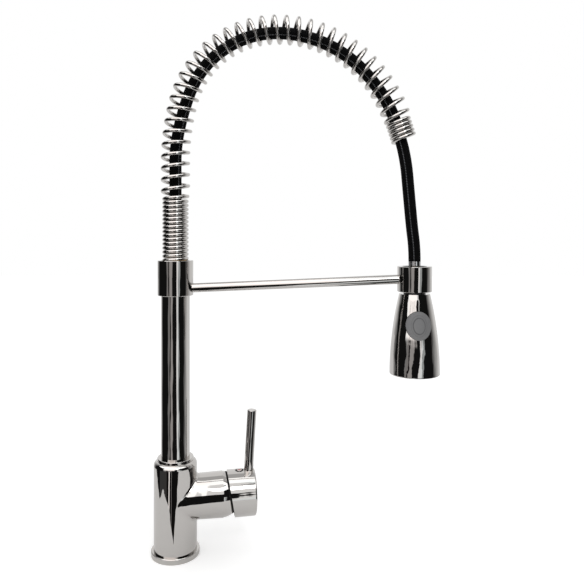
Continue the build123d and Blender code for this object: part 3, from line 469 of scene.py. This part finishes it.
def braided(name):
    """Plaited polyester: strands cross in small diamonds, 40 round the hose and 1.6 mm long,
    each a low bump, and two grey tracer threads run along it, a little left of its front and
    at its back. The strands are twice as wide as the real ones, which are too fine to show."""
    material, tree, output = new_material(name)
    place = add_node(tree, "ShaderNodeUVMap", uv_map="UVMap").outputs["UV"]
    parts = add_node(tree, "ShaderNodeSeparateXYZ", {"Vector": place})

    def calc(operation, first, second=0.0):
        return add_node(tree, "ShaderNodeMath", {0: first, 1: second},
                        operation=operation).outputs["Value"]

    strands, strand_length, twist = 40.0, 1.6 * mm, 0.15
    tracer_at, tracer_width = 0.133, 0.012
    turned = calc("ADD", parts.outputs["X"], calc("MULTIPLY", parts.outputs["Y"], twist))
    around = calc("MULTIPLY", turned, strands)
    ahead = calc("MULTIPLY", parts.outputs["Y"], 1 / strand_length)
    one = calc("SINE", calc("MULTIPLY", calc("ADD", around, ahead), math.pi))
    two = calc("SINE", calc("MULTIPLY", calc("SUBTRACT", around, ahead), math.pi))
    knots = calc("ABSOLUTE", calc("MULTIPLY", one, two))
    bumps = add_node(tree, "ShaderNodeBump",
                     {"Height": knots, "Strength": 0.7, "Distance": 0.25 * mm})
    row = calc("PINGPONG", calc("SUBTRACT", turned, tracer_at), 0.25)
    lined = calc("LESS_THAN", row, tracer_width)
    dotted = calc("GREATER_THAN", calc("SINE", calc("MULTIPLY", ahead, 2 * math.pi)), 0.1)
    tracer = calc("MULTIPLY", lined, dotted)
    fuzz = add_node(tree, "ShaderNodeTexNoise",
                    {"Vector": add_node(tree, "ShaderNodeTexCoord").outputs["Object"],
                     "Scale": 1 / (2.5 * mm), "Detail": 4.0})
    worn = calc("MULTIPLY", tracer, fuzz.outputs["Fac"])
    colour = add_node(tree, "ShaderNodeMix",
                      {"Factor": worn, "A": linear("#060607"), "B": linear("#84868A")},
                      data_type="RGBA")
    shader = add_node(tree, "ShaderNodeBsdfPrincipled",
                      {"Base Color": colour.outputs["Result"], "Roughness": 0.6,
                       "IOR": 1.12, "Normal": bumps.outputs["Normal"]})
    tree.links.new(shader.outputs["BSDF"], output.inputs["Surface"])
    return material


hose_braid = braided("polyester_braid_black")


def eased(share):
    """A smooth step from 0 to 1: three times the square less twice the cube."""
    share = np.clip(share, 0, 1)
    return share * share * (3 - 2 * share)


def arch_hose_rings(rows, sides):
    """The hose in the coil: the arch's line, moved inwards by the depth at which it lies. That
    is the sum of the eased steps and, over the last run, a sink that grows by the square."""
    first = np.linspace(-2.0 * mm, arch_length, rows)
    x, z, heading = arch_line(first)
    share = (first - arch_first_run) / (arch_length - arch_first_run)
    low = sum(depth * eased((share - start) / run) for depth, start, run in hose_sinks)
    low += last_sink * np.clip(1 - (arch_length - first) / last_sink_run, 0, 1) ** 2
    path = np.stack([x + low * np.sin(heading), 0 * x, z - low * np.cos(heading)], axis=1)
    out = np.tile([[0.0, -1.0, 0.0]], (rows, 1))
    return swept_tube(path, out, hose_radius, sides), travelled_along(path)


arch_rings, arch_travelled = arch_hose_rings(260, 40)
arch_hose = new_piece("arch_hose", ring_mesh("arch_hose", arch_rings, arch_travelled), hose_braid)
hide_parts("hose_arch")
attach(arch_hose, "spout")

# The hose below the coil hangs free in a shallow bow, so it follows a smooth line of its own.
drop_route = [(225.73, 410.8), (230.23, 394.41), (233.4, 358.0), (236.4, 325.0), (239.0, 304.8),
              (239.0, 291.2)]
route_curve = bpy.data.curves.new("hose_route", "CURVE")
route_curve.dimensions = "3D"
route_curve.resolution_u = 24
spline = route_curve.splines.new("NURBS")
spline.points.add(len(drop_route) - 1)
for point, (x, z) in zip(spline.points, drop_route):
    point.co = (x * mm, 0.0, z * mm, 1.0)
spline.order_u = 3
spline.use_endpoint_u = True
route_object = bpy.data.objects.new("hose_route", route_curve)
route_mesh = bpy.data.meshes.new_from_object(route_object)
drop_path = np.array([vertex.co[:] for vertex in route_mesh.vertices])
bpy.data.objects.remove(route_object)
bpy.data.meshes.remove(route_mesh)

drop_travelled = travelled_along(drop_path)
drop_out = np.tile([[0.0, -1.0, 0.0]], (len(drop_path), 1))
drop_rings = swept_tube(drop_path, drop_out, hose_radius, 40)
free_hose = new_piece("free_hose",
                      ring_mesh("free_hose", drop_rings, drop_travelled + arch_travelled[-1]),
                      hose_braid)
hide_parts("hose_drop")
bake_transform(free_hose)

# The ferrule is polished before it is crimped on.
dress(machined("steel_polished", "#CFCFD0", 0.5 * mm, 0.12), "hose_ferrule")
# The stub is nickelled, and its colour is painted dark as the shade of the gap below the ferrule,
# where it shows.
dress(machined("brass_nickelled_painted_shade", "#6E6C66", 0.4 * mm, 0.4), "swivel_stub")

# ---------------------------------------------------------------- hand spray
# A bell-shaped shell in plated ABS over a moulded core. The core's neck goes up into the
# holder and takes the hose's swivel nut. Below, a grey face holds rubber nozzles round an
# aerator, and a grey button with a raised oval works the valve behind it.

shell_chrome = plated("chrome_plated_abs", 20 * mm, 0.4 * mm, 0.035)
dress(shell_chrome, "head_shell")
dress(dark_acetal, "head_core", "aerator_ring")
dress(bare_brass, "swivel_nut")
dress(black_rubber, "swivel_washer", "spray_nozzles")
dress(white_acetal, "check_valve", "valve_spool")
dress(bare_steel, "aerator_screen")
spray_grey, shadow_grey = "#6A6A6B", "#474748"
grey_abs = moulded("abs_moulded_grey", spray_grey, 0.55, 0.35 * mm, 0.012 * mm)
dress(grey_abs, "spray_face")


def outlined(material, name, centre, half_width, half_height):
    """The same plastic with a soft dark line round an oval and a fainter one outside it, where
    its steps hold shadow: the distance from the centre, scaled to the oval, picks the line."""
    material = material.copy()
    material.name = name
    tree = material.node_tree
    shader = next(node for node in tree.nodes if node.type == "BSDF_PRINCIPLED")
    place = add_node(tree, "ShaderNodeTexCoord").outputs["Object"]
    scaled = add_node(tree, "ShaderNodeMapping",
                      {"Vector": place, "Scale": (1 / half_width, 0.0, 1 / half_height),
                       "Location": (-centre[0] / half_width, 0.0, -centre[2] / half_height)})
    away = add_node(tree, "ShaderNodeVectorMath", {0: scaled.outputs["Vector"]}, operation="LENGTH")
    line = None
    for at, width, depth in ((1.0, 0.1, 1.0), (1.34, 0.07, 0.4)):
        off = add_node(tree, "ShaderNodeMath", {0: away.outputs["Value"], 1: at},
                       operation="SUBTRACT")
        off = add_node(tree, "ShaderNodeMath", {0: off.outputs["Value"]}, operation="ABSOLUTE")
        near = add_node(tree, "ShaderNodeMapRange",
                        {"Value": off.outputs["Value"], "From Min": 0.0, "From Max": width,
                         "To Min": depth, "To Max": 0.0}).outputs["Result"]
        line = near if line is None else add_node(
            tree, "ShaderNodeMath", {0: line, 1: near}, operation="MAXIMUM").outputs["Value"]
    colour = add_node(tree, "ShaderNodeMix",
                      {"Factor": line, "A": linear(spray_grey), "B": linear(shadow_grey)},
                      data_type="RGBA")
    tree.links.new(colour.outputs["Result"], shader.inputs["Base Color"])
    return material


# The button's return spring is bare steel wire in three turns, built here at one fixed length.
return_wire_d = 0.8 * mm
return_turns = 3
return_low, return_high = (np.array(corner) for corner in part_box("button_spring"))


def return_rings(steps, sides):
    """The return spring's wire. At turn u its centre stands r (cos 2 pi u, sin 2 pi u) from the
    spring's axis, and it goes forward in proportion to u."""
    u = np.linspace(0, return_turns, return_turns * steps + 1)
    turn = 2 * math.pi * u
    out = np.stack([np.cos(turn), 0 * turn, np.sin(turn)], axis=1)
    radius = (return_high[0] - return_low[0] - return_wire_d) / 2
    path = (return_low + return_high) / 2 + radius * out
    reach = return_high[1] - return_low[1] - return_wire_d
    path[:, 1] = return_high[1] - return_wire_d / 2 - reach * u / return_turns
    return swept_tube(path, out, return_wire_d / 2, sides), travelled_along(path)


return_spring = new_piece("return_spring", ring_mesh("return_spring", *return_rings(40, 12)),
                          bare_steel)
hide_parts("button_spring")
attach(return_spring, "spray_head")
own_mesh(return_spring)

button_low, button_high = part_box("spray_button")
button_middle = [(a + b) / 2 for a, b in zip(button_low, button_high)]
dress(outlined(grey_abs, "abs_moulded_grey_oval", button_middle, half_width=5.7 * mm,
               half_height=7.6 * mm), "spray_button")

# ---------------------------------------------------------------- studio
# White paper under and behind the tap, a large softbox overhead in front, black flags left and
# right of the camera and the dim room between them, which chrome needs to show its form. The
# room is two meshes that only reflections see, with their glow written on their corners.

room_middle = np.array([0.1, 0.0, 0.2])
room_radius = 4.0


def room_azimuths():
    """Azimuths in degrees, 0 towards the viewer and + towards +X, finer in front."""
    return np.concatenate([np.arange(-180, -132, 4), np.arange(-132, -60, 1.0),
                           np.arange(-60, 90, 0.5), np.arange(90, 181, 3)])


def band(azimuth, start, end):
    """1 between two azimuths and 0 outside them, over soft edges one degree wide."""
    return np.clip(azimuth - start, 0, 1) * np.clip(end - azimuth, 0, 1)


# Two dim windows left of the camera and a strip light with its spill at the right, as azimuth
# from, azimuth to and glow. What lies between them is black flag.
low_strips = ((-50, -35, 0.28), (-28, -11, 0.45), (16.5, 30, 1.15), (30, 38, 0.5))
# Above level sight the windows are one bright front with three bars, and the light is narrow.
high_strips = ((-54, 6, 1.65), (17, 21, 1.2))
window_bars = (-36, -19, -7)


def room_streaks(azimuth, elevation):
    """The dim room's glow: pale walls at the far left and right, and between them the brightest
    of the strips that cover a direction. It changes from the low strips to the high ones over
    4 degrees above level sight. Two slow sines in both angles bend the strips a little."""
    calm = np.clip(np.abs(azimuth - 14) / 9, 0.05, 1)
    bend = 2.4 * np.sin(0.5 * elevation + 0.12 * azimuth)
    bend += 1.3 * np.sin(1.3 * elevation - 0.3 * azimuth + 1)
    azimuth = azimuth + bend * calm
    low = high = np.interp(azimuth, (-150, -112, 78, 120), (1.0, 0.01, 0.01, 0.9))
    for start, end, glow in low_strips:
        low = np.maximum(low, glow * band(azimuth, start, end))
    for start, end, glow in high_strips:
        high = np.maximum(high, glow * band(azimuth, start, end))
    for bar in window_bars:
        high = np.where(np.abs(azimuth - bar) < 0.8, 0.5, high)
    return low + (high - low) * np.clip(elevation / 4, 0, 1)


softbox_glow, softbox_end_glow, ceiling_glow, bar_glow = 1.9, 1.15, 0.6, 0.02


def room_glow(azimuth, elevation):
    """The room's glow by direction: the streaks low down, and above them the softbox, from 19
    degrees up in front and from 35 beside, with a dim ceiling from 56 over the rest. The softbox
    gains 0.3 exp(-(e / 15)^2), where e is the degrees from 55 up, and has a dimmer patch at the
    right. A dark bar 57 degrees up starts there in a point."""
    front = (azimuth > -54) & (azimuth < 19.5)
    beside = (azimuth > -112) & (azimuth < 80)
    softbox = softbox_glow + 0.3 * np.exp(-((elevation - 55) / 15) ** 2)
    softbox = np.where((azimuth > 9) & (azimuth < 30) & (elevation < 70), softbox_end_glow,
                       softbox)
    glow = room_streaks(azimuth, elevation)
    glow = np.where(front & (elevation > 19), softbox, glow)
    glow = np.where(beside & ~front & (elevation > 35), softbox, glow)
    glow = np.where(~beside & (elevation > 56), ceiling_glow, glow)
    bar = np.abs(elevation - 57) < np.minimum(0.6 * (azimuth - 20), 1.9)
    glow = np.where(bar & (azimuth < 60), bar_glow, glow)
    return np.where(elevation > 80, softbox_glow, glow)


def paper_edge(azimuth):
    """How far the paper reaches from the riser's axis: it is short in front, where a dark cloth
    lies on it, and a little short at both sides, by straight lines between azimuths."""
    stops = ((-112, 0.26), (-75, 0.155), (-55, 0.19), (-22, 0.14), (2, 0.057), (28, 0.26),
             (74, 0.26), (98, 0.185), (135, 0.26))
    places, reaches = zip(*stops)
    return np.interp(azimuth, places, reaches)


def room_mesh(name, points, glow, azimuth):
    """A grid of points as a glowing mesh that only reflections see. Its colour attribute is the
    glow, a little warmer in front, at the left, and cooler right of the strip light."""
    rows, columns = glow.shape
    row, column = np.meshgrid(np.arange(rows - 1), np.arange(columns - 1), indexing="ij")
    corner = (row * columns + column).ravel()
    faces = np.stack([corner, corner + 1, corner + columns + 1, corner + columns], axis=1)
    mesh = bpy.data.meshes.new(name)
    mesh.from_pydata(points.reshape(-1, 3).tolist(), [], faces.tolist())
    warm = 0.5 * band(azimuth, -45, 5) - 0.6 * band(azimuth, 25, 50) + 0 * glow
    colour = np.stack([glow * (1 + 0.05 * warm), glow * (1 - 0.04 * warm),
                       glow * (1 - 0.07 * warm), np.ones_like(glow)], axis=-1)
    layer = mesh.color_attributes.new("glow", "FLOAT_COLOR", "POINT")
    layer.data.foreach_set("color", colour.ravel().astype(np.float32))
    material, tree, output = new_material(name)
    shade = add_node(tree, "ShaderNodeVertexColor", layer_name="glow")
    light = add_node(tree, "ShaderNodeEmission", {"Color": shade.outputs["Color"], "Strength": 1.0})
    tree.links.new(light.outputs["Emission"], output.inputs["Surface"])
    panel = new_piece(name, mesh, material)
    for ray in ("camera", "diffuse", "transmission", "volume_scatter", "shadow"):
        setattr(panel, "visible_" + ray, False)


def room_walls():
    """The room's walls and ceiling: a sphere round the tap, from the floor to overhead."""
    azimuth = room_azimuths()[None, :]
    elevation = np.concatenate([np.arange(-3, 62, 0.8), np.arange(62, 91, 2.0)])[:, None]
    turn, climb = np.radians(azimuth), np.radians(elevation)
    way = np.stack([np.cos(climb) * np.sin(turn), -np.cos(climb) * np.cos(turn),
                    np.sin(climb) + 0 * turn], axis=2)
    glow = room_glow(azimuth + 0 * elevation, elevation + 0 * azimuth)
    room_mesh("room_walls", room_middle + room_radius * way, glow, azimuth)


cloth_reach = 0.245
branch_middle = 30 * mm


def room_floor():
    """The room's floor past the paper: black cloth near the tap, then as dim as the room seen
    at the angle whose tangent is the room's middle height over the distance."""
    azimuth = room_azimuths()
    azimuth = azimuth[(azimuth >= -135) & (azimuth <= 140)]
    edge = paper_edge(azimuth)
    rings = (0, cloth_reach, *np.geomspace(0.27, 4.1, 44))
    reach = np.stack([np.maximum(edge, far) for far in rings])
    turn = np.radians(azimuth)[None, :]
    points = np.stack([reach * np.sin(turn), -reach * np.cos(turn), 0.4 * mm + 0 * reach], axis=2)
    # The strips at the right point at the branch's middle, not at the riser.
    aside = np.where((azimuth > 0) & (azimuth < 60), np.degrees(branch_middle), 0) / reach
    glow = room_streaks(azimuth - aside, -np.degrees(np.arctan(room_middle[2] / reach)))
    # The cloth has a dull sheen at the left, and two folds that catch the light.
    glints = (0.05 * band(azimuth, -76, -34) + 1.6 * band(azimuth, -24, -19)
              + 0.4 * band(azimuth, -11, -8.5))
    glow[:2] = np.where(edge < 0.25, 0.008 + glints, glow[:2])
    room_mesh("room_floor", points, glow, azimuth[None, :])


room_walls()
room_floor()

# The paper is white to the camera, with only the tap's soft shadow on it.
paper, paper_tree, paper_output = new_material("paper_white")
paper_rays = add_node(paper_tree, "ShaderNodeLightPath")
paper_shader = add_node(paper_tree, "ShaderNodeBsdfDiffuse", {"Color": linear("#FCFCFC")})
paper_lift = add_node(paper_tree, "ShaderNodeEmission",
                      {"Color": linear("#FFFFFF"), "Strength": 0.24})
paper_none = add_node(paper_tree, "ShaderNodeEmission", {"Strength": 0.0})
paper_seen = add_node(paper_tree, "ShaderNodeMixShader",
                      {0: paper_rays.outputs["Is Camera Ray"], 1: paper_none.outputs["Emission"],
                       2: paper_lift.outputs["Emission"]})
paper_both = add_node(paper_tree, "ShaderNodeAddShader",
                      {0: paper_shader.outputs["BSDF"], 1: paper_seen.outputs["Shader"]})
paper_tree.links.new(paper_both.outputs["Shader"], paper_output.inputs["Surface"])
floor_mesh = bpy.data.meshes.new("floor")
floor_mesh.from_pydata([(-4, -4, 0), (4, -4, 0), (4, 4, 0), (-4, 4, 0)], [], [(0, 1, 2, 3)])
new_piece("floor", floor_mesh, paper)

world = bpy.data.worlds.new("studio")
bpy.context.scene.world = world
world.use_nodes = True
sky = world.node_tree
sky.nodes.clear()
rays = add_node(sky, "ShaderNodeLightPath")
seen = add_node(sky, "ShaderNodeMath", {0: rays.outputs["Is Camera Ray"],
                                        1: rays.outputs["Is Glossy Ray"]}, operation="MAXIMUM")
seen = add_node(sky, "ShaderNodeMath", {0: seen.outputs["Value"],
                                        1: rays.outputs["Is Transmission Ray"]},
                operation="MAXIMUM")
level = add_node(sky, "ShaderNodeMapRange", {"Value": seen.outputs["Value"], "To Min": 0.85,
                                             "To Max": 1.0})
backdrop = add_node(sky, "ShaderNodeBackground", {"Color": linear("#FFFFFF"),
                                                  "Strength": level.outputs["Result"]})
sky_output = sky.nodes.new("ShaderNodeOutputWorld")
sky.links.new(backdrop.outputs["Background"], sky_output.inputs["Surface"])


def lamp(name, place, aim, size, power):
    """A square softbox at a place, turned to face a point."""
    data = bpy.data.lights.new(name, "AREA")
    data.size = size
    data.energy = power
    source = bpy.data.objects.new(name, data)
    bpy.context.scene.collection.objects.link(source)
    away = np.array(aim) - np.array(place)
    source.location = place
    source.rotation_euler = (math.atan2(math.hypot(away[0], away[1]), -away[2]), 0.0,
                             math.atan2(-away[0], away[1]))
    return source


lamp("key", (0.45, -1.1, 1.2), (0.1, 0.0, 0.2), 0.4, 3.0)

# The camera stands 0.6 m in front, level, at the height of the arch's foot.
view = bpy.data.cameras.new("camera")
view.sensor_width = 36.0
view.lens = 36.986
view.shift_x = 0.0017
view.shift_y = -0.0976
camera = bpy.data.objects.new("camera", view)
bpy.context.scene.collection.objects.link(camera)
camera.location = (0.1155, -0.6, 0.3175)
camera.rotation_euler = (math.pi / 2, 0.0, 0.0)
bpy.context.scene.camera = camera
bpy.context.scene.view_settings.view_transform = "Standard"
